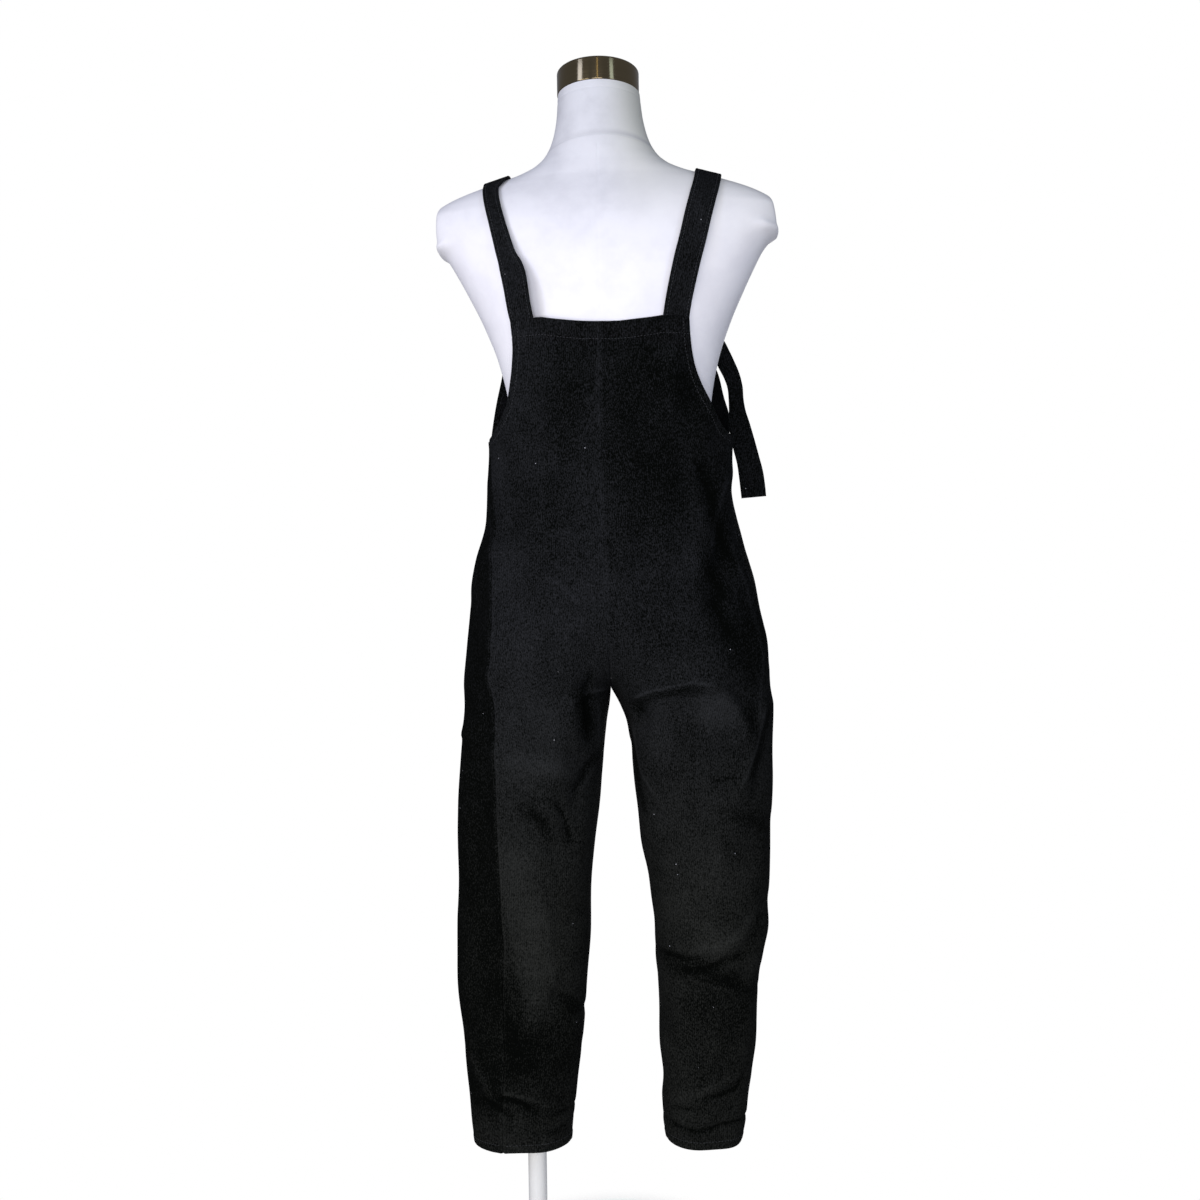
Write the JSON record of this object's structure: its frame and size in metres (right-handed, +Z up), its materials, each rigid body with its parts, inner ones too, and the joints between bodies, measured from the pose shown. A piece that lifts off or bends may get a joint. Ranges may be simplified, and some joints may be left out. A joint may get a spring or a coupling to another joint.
{
  "type": "jumpsuit on dress form",
  "caption": "Sleeveless bib-and-brace jumpsuit with tied shoulder straps and straight ankle-length legs, worn by a limbless dress form on a pole and a round base.",
  "frame": {"origin": "on the floor, at the middle of the base plate's underside", "axes": "+Z up along the form's height, front of the garment facing -Y, wearer's left at +X"},
  "size_m": [0.4579, 0.34, 1.6453],
  "materials": {
    "corduroy": "fine needlecord, short soft pile",
    "jersey": "smooth stretch jersey cover",
    "steel": "brushed round the axis",
    "paint": "satin powder coat"
  },
  "bodies": {
    "root": {"back_left": "corduroy", "back_right": "corduroy", "front_left": "corduroy", "front_right": "corduroy", "strap_left": "corduroy", "strap_right": "corduroy", "knot_left": "corduroy", "knot_right": "corduroy", "tail_left": "corduroy", "tail_right": "corduroy", "form_torso": "jersey", "neck_cap": "steel", "pole": "paint", "pole_collar": "paint", "base_plate": "paint"}
  },
  "joints": []
}
